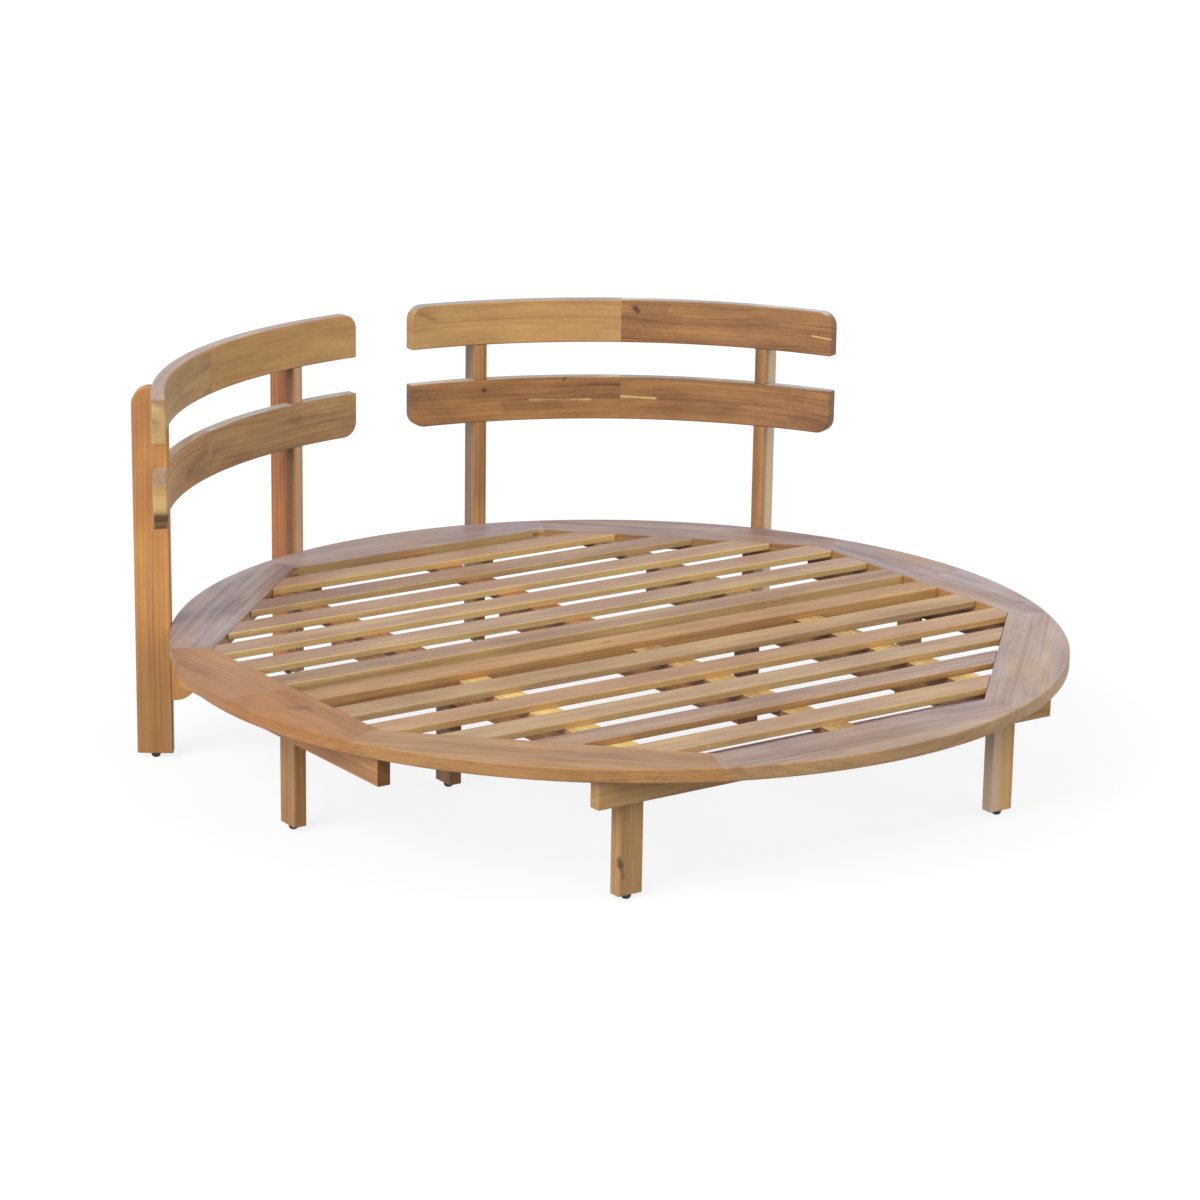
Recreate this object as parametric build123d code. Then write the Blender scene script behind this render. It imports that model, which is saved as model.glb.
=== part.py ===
from build123d import *
import os
from math import cos, radians, sin, sqrt

# A round garden daybed in oiled hardwood. A ring of eight mitred boards frames a slatted deck,
# planks on edge carry it on ten supports, and four of those supports are tall posts at the back,
# which hold two curved backrests of two rails each. All sizes are in millimetres.
# Every circle here has the centre of the deck as its own centre. Front is -Y, and left and right
# are those of someone who stands in front of the bed.

# The ring
deck_radius = 1000
deck_height = 312
ring_depth = 30
ring_arris = 2
ring_width_at_corners = 89
ring_sides = 8
finger_rows = 4
finger_length = 30
seam_gap = 1.2

# The slats and the two thick boards beside the seam
slat_width = 71
slat_pitch = 135
first_slat_edge = 28.5
slat_depth = 15
slat_end_gap = 1.5
board_arris = 1.5

# The battens under the slats
batten_width = 70
batten_beside_joist = 14
batten_end_gap = 0.3

# The frame of planks on edge
frame_depth = 65
frame_thick = 30
quarter_joist_inner = 425
quarter_joist_back = 490
middle_joist_reach = 464
side_beam_setback = 16.5
side_beam_end_inset = 20
apron_setback = 64.5
apron_end_inset = 21

# The legs
leg_width = 60
leg_thick = 30
front_leg_beside_joist = 8.5
inner_leg_front = 35
leg_arris = 2

# The posts and the corbels under the ring
post_depth = 80
post_thick = 30
post_top_round = 40
post_top_below_rail = 14
post_arris = 2
backrest_middle_angle = 55
post_spread_angle = 20
corbel_reach = 60
corbel_drop = 145
corbel_round = 55

# The curved rails
rail_thick = 30
rail_height = 106
lower_rail_level = 569
upper_rail_level = 762
rail_half_angle = 30.5
rail_big_round = 36
rail_small_round = 4
rail_arris = 2
housing_gap = 0.2

# The glides under the feet
glide_height = 12
glide_radius = 11
glide_flat_radius = 7
glide_shoulder_radius = 9.5
glide_shoulder_height = 9.5
glide_rim = 4
glide_sides = 20
glide_stem_radius = 3
glide_stem_length = 12
stem_gap = 0.1

# The bolts that hold the posts: the head is sunk in a pocket of the post, and the shank reaches
# into the corbel. Bolts, stems and their bores are small, so they are made with flat sides.
bolt_radius = 4
bolt_length = 114
bolt_head_radius = 8
bolt_head_height = 5
bolt_head_sides = 6
bolt_head_sink = 1
bolt_pocket_radius = 10
bore_sides = 12
bolt_level_shares = (0.3, 0.75)
bore_gap = 0.2
bore_end_gap = 1

# Levels and faces that follow from the sizes above
ring_under = deck_height - ring_depth
slat_under = deck_height - slat_depth
frame_under = ring_under - frame_depth
side_angle = 360 / ring_sides
half_side_angle = side_angle / 2
opening_corner_radius = deck_radius - ring_width_at_corners
opening_side = opening_corner_radius * cos(radians(half_side_angle))
thick_board_edge = first_slat_edge + slat_width
slats_per_half = int((opening_side - thick_board_edge) / slat_pitch)
batten_offset = quarter_joist_inner + frame_thick / 2 + batten_beside_joist
side_beam_inner = opening_side + side_beam_setback
side_beam_reach = sqrt((deck_radius - side_beam_end_inset) ** 2
                       - (side_beam_inner + frame_thick) ** 2)
apron_front = opening_side - apron_setback
apron_back = apron_front - frame_thick
apron_reach = sqrt((deck_radius - apron_end_inset) ** 2 - apron_front ** 2)
front_leg_inner = quarter_joist_inner + frame_thick + front_leg_beside_joist
post_outer_radius = deck_radius + post_depth
post_angles = [
    backrest_middle_angle - post_spread_angle,
    backrest_middle_angle + post_spread_angle,
    180 - backrest_middle_angle - post_spread_angle,
    180 - backrest_middle_angle + post_spread_angle,
]

# The origin lies on the floor under the middle of the whole bed, so the deck's centre is a
# little in front of it by half of what the back posts add behind the ring.
back_angle = radians(post_angles[1])
post_back = post_outer_radius * sin(back_angle) + (post_thick / 2 - post_arris) * cos(back_angle)
deck_shift = (deck_radius - post_back) / 2

pieces = {}


def keep(name, shape):
    pieces[name] = Pos(0, deck_shift, 0) * shape


def plank(x_faces, y_faces, z_faces, long_axis, arris):
    """A sawn board between three pairs of faces, with its long edges eased."""
    spans = [faces[1] - faces[0] for faces in (x_faces, y_faces, z_faces)]
    board = Pos(x_faces[0], y_faces[0], z_faces[0]) * Box(*spans, align=(Align.MIN,) * 3)
    return chamfer(board.edges().filter_by(long_axis), arris)


def opening(gap):
    """The eight-sided opening of the ring, smaller by a gap all round."""
    corner = opening_corner_radius - gap / cos(radians(half_side_angle))
    return RegularPolygon(corner, ring_sides, rotation=half_side_angle)


# The ring is made of mitred boards. Each mitre is cut into interlocking fingers: the rows of the
# thickness end in turn before and after the mitre line.

def mitre_line(angle, offset):
    """Two points of a line along a radius, moved sideways by the offset."""
    near_share = 0.6
    far_share = 1.3
    ray = Vector(cos(radians(angle)), sin(radians(angle)))
    side = Vector(-ray.Y, ray.X) * offset
    return [ray * (deck_radius * share) + side for share in (near_share, far_share)]


def ring_board(start_angle, end_angle, start_is_seam, end_is_seam):
    row_depth = ring_depth / finger_rows
    ring = Circle(deck_radius) - opening(0)
    board = None
    for row in range(finger_rows):
        sway = finger_length / 2 if row % 2 == 0 else -finger_length / 2
        start = mitre_line(start_angle, seam_gap / 2 if start_is_seam else sway)
        end = mitre_line(end_angle, -seam_gap / 2 if end_is_seam else sway)
        wedge = make_face(Polyline(start[0], start[1], end[1], end[0], close=True))
        layer = Pos(0, 0, ring_under + row * row_depth) * extrude(ring & wedge, row_depth)
        board = layer if board is None else board + layer
    arcs = board.edges().filter_by(GeomType.CIRCLE).group_by(Axis.Z)
    return chamfer(arcs[0] + arcs[-1], ring_arris)


def make_ring():
    whole_boards = {"rear_right": 1, "rear": 2, "rear_left": 3,
                    "front_left": 5, "front": 6, "front_right": 7}
    for place, number in whole_boards.items():
        middle = number * side_angle
        board = ring_board(middle - half_side_angle, middle + half_side_angle, False, False)
        keep("ring_board_" + place, board)
    keep("ring_board_right_rear", ring_board(0, half_side_angle, True, False))
    keep("ring_board_right_front", ring_board(-half_side_angle, 0, False, True))
    keep("ring_board_left_rear", ring_board(180 - half_side_angle, 180, False, True))
    keep("ring_board_left_front", ring_board(180, 180 + half_side_angle, True, False))


# The deck

def deck_strip(near_edge, side, depth):
    """One board across the opening, from its near edge outwards, cut to the eight-sided opening."""
    middle = side * (near_edge + slat_width / 2)
    strip = Pos(0, middle) * Rectangle(2 * deck_radius, slat_width)
    outline = strip & opening(slat_end_gap)
    board = Pos(0, 0, deck_height - depth) * extrude(outline, depth)
    tops = board.edges().filter_by(Axis.X).group_by(Axis.Z)[-1]
    return chamfer(tops, board_arris)


def batten(x, side):
    """A flat strip from the thick board out to the ring, with its end cut to the opening."""
    length = deck_radius - thick_board_edge
    strip = Pos(x, side * (thick_board_edge + length / 2)) * Rectangle(batten_width, length)
    outline = strip & opening(batten_end_gap)
    return Pos(0, 0, ring_under) * extrude(outline, slat_under - ring_under)


def make_deck():
    for side, half in ((-1, "front"), (1, "rear")):
        keep(f"thick_board_{half}", deck_strip(first_slat_edge, side, ring_depth))
        for number in range(1, slats_per_half + 1):
            near_edge = first_slat_edge + number * slat_pitch
            keep(f"slat_{half}_{number}", deck_strip(near_edge, side, slat_depth))
        for x, place in ((-batten_offset, "left"), (0, "middle"), (batten_offset, "right")):
            keep(f"batten_{half}_{place}", batten(x, side))


# The frame of planks on edge and the six short legs

frame_z = (frame_under, ring_under)
leg_z = (glide_height, ring_under)


def round_bar(radius, length):
    """A bar along +Z from the origin, with flat sides in place of a true round."""
    return extrude(RegularPolygon(radius, bore_sides), length)


stem_bore = round_bar(glide_stem_radius + stem_gap, glide_stem_length + bore_end_gap)


def leg(x_faces, y_faces):
    """A short leg, and the place of its glide."""
    foot = Pos(sum(x_faces) / 2, sum(y_faces) / 2, glide_height)
    return plank(x_faces, y_faces, leg_z, Axis.Z, leg_arris) - foot * stem_bore, foot


def make_frame():
    """Everything here is made for the right side, and copied to the left."""
    side_beam = plank((side_beam_inner, side_beam_inner + frame_thick),
                      (-side_beam_reach, side_beam_reach), frame_z, Axis.Y, board_arris)
    quarter_joist = plank((quarter_joist_inner, quarter_joist_inner + frame_thick),
                          (-apron_back, quarter_joist_back), frame_z, Axis.Y, board_arris)
    side_leg, side_foot = leg((side_beam_inner - leg_thick, side_beam_inner),
                              (-leg_width / 2, leg_width / 2))
    inner_leg, inner_foot = leg((quarter_joist_inner - leg_thick, quarter_joist_inner),
                                (inner_leg_front, inner_leg_front + leg_width))
    front_leg, front_foot = leg((front_leg_inner, front_leg_inner + leg_width),
                                (-apron_back, -apron_back + leg_thick))
    pairs = {"side_beam": side_beam, "quarter_joist": quarter_joist, "side_leg": side_leg,
             "inner_leg": inner_leg, "front_leg": front_leg}
    for name, shape in pairs.items():
        keep(name + "_right", shape)
        keep(name + "_left", mirror(shape, about=Plane.YZ))
    keep("apron", plank((-apron_reach, apron_reach), (-apron_front, -apron_back), frame_z,
                        Axis.X, board_arris))
    keep("middle_joist", plank((-frame_thick / 2, frame_thick / 2),
                               (-middle_joist_reach, middle_joist_reach), frame_z,
                               Axis.Y, board_arris))
    return [side_foot, inner_foot, front_foot]


# The posts, the corbels that tie them to the ring, and the backrests

upper_rail_top = upper_rail_level + rail_height
post_top = upper_rail_top - post_top_below_rail
bolt_seat_depth = bolt_head_sink + bolt_head_height
bolt_bore = round_bar(bolt_radius + bore_gap, bolt_length + bore_end_gap)
bolt_pocket = round_bar(bolt_pocket_radius, -bolt_seat_depth)


def bolt():
    """A bolt along +Z with its six-sided head below the origin and its shank above."""
    head = extrude(RegularPolygon(bolt_head_radius, bolt_head_sides), -bolt_head_height)
    return round_bar(bolt_radius, bolt_length) + head


def bolt_places(angle):
    """The seats of the bolt heads in a post, from which the bolts run in towards the deck."""
    levels = [ring_under - corbel_drop * share for share in bolt_level_shares]
    seat_radius = post_outer_radius - bolt_seat_depth
    return [Rot(0, 0, angle) * Plane(origin=(seat_radius, 0, z), z_dir=(-1, 0, 0)).location
            for z in levels]


def housing(level):
    """The round space that a rail takes up in the inner edge of a post."""
    height = rail_height + 2 * housing_gap
    bottom = (Align.CENTER, Align.CENTER, Align.MIN)
    disc = Cylinder(deck_radius + rail_thick + housing_gap, height, align=bottom)
    return Pos(0, 0, level - housing_gap) * disc


def drill(shape, angle):
    """Cut the bolt bores and head pockets of the post at this angle."""
    for place in bolt_places(angle):
        shape = shape - place * bolt_bore - place * bolt_pocket
    return shape


def post(angle):
    board = Pos(deck_radius, 0, glide_height) * Box(
        post_depth, post_thick, post_top - glide_height,
        align=(Align.MIN, Align.CENTER, Align.MIN))
    top = board.edges().filter_by(Axis.Y).group_by(Axis.Z)[-1].sort_by(Axis.X)[-1]
    board = fillet(top, post_top_round)
    sides = board.faces().filter_by(Axis.Y).edges()
    board = chamfer(sides.filter_by(Axis.Z) + sides.filter_by(GeomType.CIRCLE), post_arris)
    for level in (lower_rail_level, upper_rail_level):
        board = board - housing(level)
    return drill(Rot(0, 0, angle) * board - post_foot(angle) * stem_bore, angle)


def post_foot(angle):
    return Rot(0, 0, angle) * Pos(deck_radius + post_depth / 2, 0, glide_height)


def corbel(angle):
    """A short block under the ring, against the post, with its lower inner corner rounded off."""
    block = Pos(deck_radius, 0, ring_under) * Box(
        corbel_reach, post_thick, corbel_drop, align=(Align.MAX, Align.CENTER, Align.MAX))
    corner = block.edges().filter_by(Axis.Y).group_by(Axis.Z)[0].sort_by(Axis.X)[0]
    return drill(Rot(0, 0, angle) * fillet(corner, corbel_round), angle)


def rail_board(end_angle, seam_angle, level, big_round_on_top):
    """Half of a curved rail, from its free end to the glued seam in the middle."""
    outer_radius = deck_radius + rail_thick
    start = min(end_angle, seam_angle)
    sweep = abs(seam_angle - end_angle)
    outer = CenterArc((0, 0), outer_radius, start, sweep)
    inner = CenterArc((0, 0), deck_radius, start, sweep)
    ends = [Line(outer @ 0, inner @ 0), Line(outer @ 1, inner @ 1)]
    board = Pos(0, 0, level) * extrude(make_face([outer, inner] + ends), rail_height)
    ray = Vector(cos(radians(end_angle)), sin(radians(end_angle))) * (deck_radius + rail_thick / 2)
    for is_top in (False, True):
        corner = ray + Vector(0, 0, level + (rail_height if is_top else 0))
        edge = board.edges().sort_by_distance(corner)[0]
        board = fillet(edge, rail_big_round if is_top == big_round_on_top else rail_small_round)
    return chamfer(board.edges().filter_by(GeomType.CIRCLE), rail_arris)


def make_backrests():
    middle = backrest_middle_angle
    for side in ("right", "left"):
        for place, sign in (("outer", -1), ("inner", 1)):
            angle = middle + sign * post_spread_angle
            end = middle + sign * rail_half_angle
            seam = middle
            if side == "left":
                angle, end, seam = 180 - angle, 180 - end, 180 - seam
            keep(f"post_{side}_{place}", post(angle))
            keep(f"corbel_{side}_{place}", corbel(angle))
            keep(f"lower_rail_{side}_{place}",
                 rail_board(end, seam, lower_rail_level, False))
            keep(f"upper_rail_{side}_{place}",
                 rail_board(end, seam, upper_rail_level, True))
    bolts = [place * bolt() for angle in post_angles for place in bolt_places(angle)]
    keep("post_bolts", Compound(children=bolts))


# The glides: a domed plastic button with a stem that is knocked into the end grain

def glide():
    """The button below the origin, widest at its rim, with its stem above."""
    outline = ((glide_flat_radius, -glide_height), (glide_shoulder_radius, -glide_shoulder_height),
               (glide_radius, -glide_rim), (glide_radius, 0))
    rings = [Pos(0, 0, z) * RegularPolygon(radius, glide_sides) for radius, z in outline]
    button = round_bar(glide_stem_radius, glide_stem_length)
    for lower, upper in zip(rings, rings[1:]):
        button = button + loft([lower, upper], ruled=True)
    return button


def make_glides(leg_feet):
    button = glide()
    right = [foot * button for foot in leg_feet]
    left = [mirror(each, about=Plane.YZ) for each in right]
    back = [post_foot(angle) * button for angle in post_angles]
    keep("foot_glides", Compound(children=right + left + back))


make_ring()
make_deck()
make_glides(make_frame())
make_backrests()

os.makedirs("parts", exist_ok=True)
for name, shape in pieces.items():
    export_step(shape, f"parts/{name}.step")
print(len(pieces), "pieces written")
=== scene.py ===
# %% [markdown]
# A round daybed, built of honey coloured acacia boards. Its shapes come from the CAD part, so this
# notebook only dresses them: it gives every board its own grain, tone and satin finish, and sets up
# the camera, the light and the floor.

# %% Load the frame
import math
import random

import bpy
from mathutils import Euler, Matrix, Vector


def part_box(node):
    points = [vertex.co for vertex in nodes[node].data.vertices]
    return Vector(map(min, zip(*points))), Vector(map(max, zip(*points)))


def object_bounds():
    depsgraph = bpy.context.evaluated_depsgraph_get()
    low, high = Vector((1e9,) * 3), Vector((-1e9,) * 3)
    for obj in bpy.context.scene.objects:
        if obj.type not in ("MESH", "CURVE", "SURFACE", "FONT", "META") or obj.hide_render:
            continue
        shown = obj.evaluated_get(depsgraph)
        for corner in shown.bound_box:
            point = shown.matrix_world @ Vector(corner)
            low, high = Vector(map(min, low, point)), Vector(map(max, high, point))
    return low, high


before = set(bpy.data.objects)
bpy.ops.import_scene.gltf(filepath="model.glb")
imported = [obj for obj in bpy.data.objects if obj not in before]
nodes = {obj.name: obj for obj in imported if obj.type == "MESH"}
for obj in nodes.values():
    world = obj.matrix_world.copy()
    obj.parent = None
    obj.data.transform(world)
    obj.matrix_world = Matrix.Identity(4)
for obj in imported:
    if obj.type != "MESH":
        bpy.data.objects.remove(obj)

cad_low, cad_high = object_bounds()
print(len(nodes), "nodes, size", [round(x, 3) for x in cad_high - cad_low])

# %% [markdown]
# The photograph was taken with a long lens, from the front and well to the left, and from above a
# person's head: 2.6 m over the floor and 8 m away. A camera could be placed by eye until the picture
# looks right. Here its place, direction and lens were worked out from the corners of the ring, the
# posts and the feet, because then each board lands where the photograph has it.

# %% Camera
camera_angle = math.radians(-35.0727)      # round the object, from the front
camera_height_angle = math.radians(15.8646)
camera_distance = 8.3137
camera_aside = (-0.0525, 0.0178)           # right and up from the line to the deck's middle
camera_roll = math.radians(0.8829)
deck_radius = cad_high.x
ring_front, ring_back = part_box("ring_board_front")
deck_middle = Vector((0, ring_front.y + deck_radius, ring_back.z))
picture_side = 1200
focal_pixels = 3721.2851
principal_point = (595.8138, 622.0999)

back = Vector((math.sin(camera_angle) * math.cos(camera_height_angle),
               -math.cos(camera_angle) * math.cos(camera_height_angle),
               math.sin(camera_height_angle)))
level_right = (-back).cross(Vector((0, 0, 1))).normalized()
level_up = level_right.cross(-back)
right = level_right * math.cos(camera_roll) + level_up * math.sin(camera_roll)
up = level_up * math.cos(camera_roll) - level_right * math.sin(camera_roll)

camera = bpy.data.objects.new("camera", bpy.data.cameras.new("camera"))
bpy.context.scene.collection.objects.link(camera)
camera.location = (deck_middle + back * camera_distance
                   + right * camera_aside[0] + up * camera_aside[1])
camera.rotation_euler = Matrix((right, up, back)).transposed().to_euler()
camera.data.sensor_width = 36
camera.data.lens = focal_pixels / picture_side * camera.data.sensor_width
camera.data.shift_x = (picture_side / 2 - principal_point[0]) / picture_side
camera.data.shift_y = (principal_point[1] - picture_side / 2) / picture_side
bpy.context.scene.camera = camera
print("deck middle", [round(x, 5) for x in deck_middle])
print("lens", round(camera.data.lens, 1), "mm at", [round(x, 2) for x in camera.location])

# %% [markdown]
# Every material below is a small tree of shader nodes. A few helpers keep the cells short: one adds a
# node and sets its values, one joins two sockets, and the others do a sum on the way.

# %% Helpers for shader nodes
def put(tree, kind, settings=None, **inputs):
    """A new node. settings are its own properties, and inputs are values or sockets."""
    node = tree.nodes.new(kind)
    for name, value in (settings or {}).items():
        setattr(node, name, value)
    for name, value in inputs.items():
        feed(tree, node.inputs[name.replace("_", " ")], value)
    return node


def feed(tree, socket, value):
    """Joins a socket to another one, or sets its value."""
    if isinstance(value, bpy.types.NodeSocket):
        tree.links.new(value, socket)
    else:
        socket.default_value = value


def calc(tree, operation, first, second=0.0, third=0.0, clamp=False):
    """One sum on numbers, with its result as a socket."""
    node = put(tree, "ShaderNodeMath", {"operation": operation, "use_clamp": clamp})
    for socket, value in zip(node.inputs, (first, second, third)):
        feed(tree, socket, value)
    return node.outputs[0]


def added(tree, *values):
    """The sum of several sockets or numbers."""
    total = values[0]
    for value in values[1:]:
        total = calc(tree, "ADD", total, value)
    return total


def swing(tree, value, amount):
    """A value round one half, turned into plus or minus half of the amount."""
    return calc(tree, "MULTIPLY", calc(tree, "SUBTRACT", value, 0.5), amount)


def rising(tree, value, start, slope):
    """Nothing up to start, then a straight rise, and one at most."""
    return calc(tree, "MULTIPLY", calc(tree, "SUBTRACT", value, start), slope, clamp=True)


def vector_calc(tree, operation, first, second):
    """One sum on vectors. Its outputs are a Vector and, for a length or a product, a Value."""
    node = put(tree, "ShaderNodeVectorMath", {"operation": operation})
    feed(tree, node.inputs[0], first)
    feed(tree, node.inputs[1], second)
    return node.outputs


def scaled(tree, vector, scale):
    """A vector stretched along its three directions."""
    return vector_calc(tree, "MULTIPLY", vector, scale)["Vector"]


def times(tree, vector, factor):
    """A vector times one number."""
    node = put(tree, "ShaderNodeVectorMath", {"operation": "SCALE"}, Scale=factor)
    feed(tree, node.inputs[0], vector)
    return node.outputs["Vector"]


def noise(tree, vector, scale, detail=3.0, roughness=0.55):
    """A noise whose spots are stretched by the scale, given per metre in three directions."""
    return put(tree, "ShaderNodeTexNoise", Vector=scaled(tree, vector, scale), Scale=1.0,
               Detail=detail, Roughness=roughness).outputs["Fac"]


def blend_colours(tree, kind, share, first, second):
    """Two colours laid over each other in the way that kind names."""
    node = put(tree, "ShaderNodeMix", {"data_type": "RGBA", "blend_type": kind})
    feed(tree, node.inputs["Factor"], share)
    feed(tree, node.inputs[6], first)
    feed(tree, node.inputs[7], second)
    return node.outputs[2]


print("helpers ready")

# %% [markdown]
# An effect that many boards share is built once, as a node group, and placed in each material with that
# board's own values. A group needs named sockets on both sides, so one helper makes them from two lists.

# %% An empty node group
FLOAT, VECTOR, COLOUR = "NodeSocketFloat", "NodeSocketVector", "NodeSocketColor"


def new_group(name, inputs, outputs):
    """An empty node group with named sockets: its tree, its inputs and its outputs."""
    tree = bpy.data.node_groups.new(name, "ShaderNodeTree")
    for kind, sockets in (("INPUT", inputs), ("OUTPUT", outputs)):
        for label, (socket_type, default) in sockets.items():
            socket = tree.interface.new_socket(label, in_out=kind, socket_type=socket_type)
            if default is not None:
                socket.default_value = default
    return tree, tree.nodes.new("NodeGroupInput").outputs, tree.nodes.new("NodeGroupOutput").inputs


def group_node(tree, group, **inputs):
    """A node group placed in a material, with its own values."""
    node = tree.nodes.new("ShaderNodeGroup")
    node.node_tree = group
    for name, value in inputs.items():
        feed(tree, node.inputs[name.replace("_", " ")], value)
    return node


print("groups can be made of", FLOAT, VECTOR, COLOUR)

# %% [markdown]
# Acacia grows in rings, and a board is a thin cut from that log. On the real boards the rings show as
# soft wavy bands, wide where the cut runs along a ring and tight where it crosses them. A picture of
# wood could be laid on each face, but then the grain wouldn't run round an edge. So these steps work
# out how far each point is from the middle of the log, and faces, edges and ends all agree. Growth
# comes in sheets, much the same along the log and round it, and new at each distance from its middle.

# %% Where a point lies in its log
sway_spots = (1.1, 4.0, 4.0)                # how often the log's middle sways, per metre
sway_detail = 2.0
year_noise = ((0.5, 12.0, 0.8), 1.0)        # spots along, outward and round the log, and their detail
year_drift = 3.0                            # years that a line may drift
line_sharpness = 2.0
faint_noise = ((1.2, 14.0, 1.0), 2.0)
faint_rise = (0.34, 3.0)                    # where the lines begin to show, and how fast


def from_log_middle(tree, along, sway):
    """Coordinates from the middle of the log, which sways aside as the grain runs along."""
    wander = put(tree, "ShaderNodeTexNoise", Vector=scaled(tree, along, sway_spots),
                 Scale=1.0, Detail=sway_detail).outputs["Color"]
    centred = vector_calc(tree, "SUBTRACT", wander, (0.5, 0.5, 0.5))["Vector"]
    aside = times(tree, scaled(tree, centred, (0.0, 1.0, 1.0)), sway)
    bent = vector_calc(tree, "ADD", along, aside)["Vector"]
    return put(tree, "ShaderNodeSeparateXYZ", Vector=bent).outputs


def in_sheets(tree, log):
    """The distance from the log's middle, and the place along the log, outward and round it."""
    distance = calc(tree, "SQRT", added(tree, calc(tree, "MULTIPLY", log["Y"], log["Y"]),
                                        calc(tree, "MULTIPLY", log["Z"], log["Z"])))
    round_log = calc(tree, "ARCTAN2", log["Z"], log["Y"])
    sheet = put(tree, "ShaderNodeCombineXYZ", X=log["X"], Y=distance, Z=round_log)
    return distance, sheet.outputs[0]


def late_wood(tree, distance, sheet, ring_width):
    """A soft dark line once a year, fainter where another noise says so."""
    uneven = noise(tree, sheet, *year_noise)
    years = added(tree, calc(tree, "DIVIDE", distance, ring_width),
                  calc(tree, "MULTIPLY", uneven, year_drift))
    wave = calc(tree, "COSINE", calc(tree, "MULTIPLY", years, math.tau))
    crest = calc(tree, "MULTIPLY", calc(tree, "ADD", wave, 1.0), 0.5)
    line = calc(tree, "POWER", crest, line_sharpness)
    faint = noise(tree, sheet, *faint_noise)
    return calc(tree, "MULTIPLY", line, rising(tree, faint, *faint_rise))


print("the log sways about", sway_spots[0], "times a metre")

# %% [markdown]
# On top of the yearly lines, the real wood has broad clouds, streaks, fine lines, fibres, dark veins and
# small pores. Each is a noise of its own size, long along the grain and short across it. They are added
# up to one tone, and a ramp turns the tone into colour, because dark and light acacia differ in hue too:
# one colour made darker would look dirty.

# %% Acacia grain, shared by all the boards
sheet_noises = {    # scale along, outward and round, detail, roughness, and what it does to the tone
    "broad": ((0.8, 26.0, 1.2), 1.0, 0.50, 0.45),
    "streak": ((1.1, 95.0, 1.6), 2.0, 0.50, 0.26),
    "fine": ((2.0, 280.0, 3.0), 2.0, 0.60, 0.28),
}
board_noises = {    # the same for those that lie straight along the board
    "fibre": ((6.0, 560.0, 560.0), 2.0, 0.60, 0.36),
    "patch": ((4.0, 13.0, 13.0), 3.0, 0.60, 0.62),
}
pore_noise, pore_rise = ((55.0, 1300.0, 1300.0), 1.0), (0.62, 9.0)
vein_noise, vein_rise = ((1.0, 75.0, 1.2), 1.0), (0.64, 6.0)
red_noise, red_swing = ((1.4, 30.0, 1.5), 2.0), 0.5
late_tone, vein_tone, pore_share = -0.13, -0.25, 0.45
fibre_rough, late_rough = 0.2, 0.06
fine_height, pore_depth, late_depth = 0.6, 0.6, 0.2      # as shares of the grain's height
heartwood = ((0.0, (0.080, 0.033, 0.014)), (0.22, (0.210, 0.094, 0.035)),
             (0.50, (0.405, 0.199, 0.067)), (0.75, (0.560, 0.303, 0.096)),
             (1.0, (0.710, 0.415, 0.130)))
red_cast, straw_cast = (1.0, 0.76, 0.72, 1.0), (1.0, 1.20, 1.60, 1.0)
pore_colour = (0.45, 0.36, 0.30, 1.0)


def wood_colour(tree, tone):
    """The ramp from dark to light wood."""
    ramp = put(tree, "ShaderNodeValToRGB", Fac=tone)
    stops = ramp.color_ramp.elements
    while len(stops) < len(heartwood):
        stops.new(0.5)
    for stop, (place, colour) in zip(stops, heartwood):
        stop.position = place
        stop.color = (*colour, 1.0)
    return ramp.outputs["Color"]


def build_grain():
    """The group that gives a board's colour, the change of its roughness and its height."""
    tree, given, gives = new_group(
        "acacia_grain",
        {"Vector": (VECTOR, None), "Ring Width": (FLOAT, 0.014), "Sway": (FLOAT, 0.02),
         "Figure": (FLOAT, 1.0), "Tone": (FLOAT, 0.5), "Red": (FLOAT, 0.0), "Straw": (FLOAT, 0.0)},
        {"Color": (COLOUR, None), "Roughness": (FLOAT, None), "Height": (FLOAT, None)})
    along = given["Vector"]
    distance, sheet = in_sheets(tree, from_log_middle(tree, along, given["Sway"]))
    late = late_wood(tree, distance, sheet, given["Ring Width"])
    spots, tones = {}, {}
    for vector, table in ((sheet, sheet_noises), (along, board_noises)):
        for name, (scale, detail, roughness, amount) in table.items():
            spots[name] = noise(tree, vector, scale, detail, roughness)
            tones[name] = swing(tree, spots[name], amount)
    pore = rising(tree, noise(tree, along, *pore_noise), *pore_rise)
    vein = rising(tree, noise(tree, sheet, *vein_noise), *vein_rise)
    banding = calc(tree, "MULTIPLY", given["Figure"], added(
        tree, tones["broad"], tones["streak"], calc(tree, "MULTIPLY", late, late_tone),
        calc(tree, "MULTIPLY", vein, vein_tone)))
    tone = calc(tree, "ADD", added(tree, given["Tone"], banding, tones["patch"]),
                added(tree, tones["fine"], tones["fibre"]), clamp=True)
    redder = noise(tree, sheet, *red_noise)
    redness = calc(tree, "ADD", given["Red"], swing(tree, redder, red_swing), clamp=True)
    warm = blend_colours(tree, "MULTIPLY", redness, wood_colour(tree, tone), red_cast)
    straw = blend_colours(tree, "MULTIPLY", given["Straw"], warm, straw_cast)
    feed(tree, gives["Color"], blend_colours(
        tree, "MULTIPLY", calc(tree, "MULTIPLY", pore, pore_share), straw, pore_colour))
    feed(tree, gives["Roughness"], added(tree, swing(tree, spots["fibre"], fibre_rough),
                                         calc(tree, "MULTIPLY", late, late_rough)))
    hollows = added(tree, calc(tree, "MULTIPLY", pore, pore_depth),
                    calc(tree, "MULTIPLY", late, late_depth))
    feed(tree, gives["Height"], calc(tree, "SUBTRACT", swing(tree, spots["fine"], fine_height),
                                     hollows))
    return tree


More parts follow.
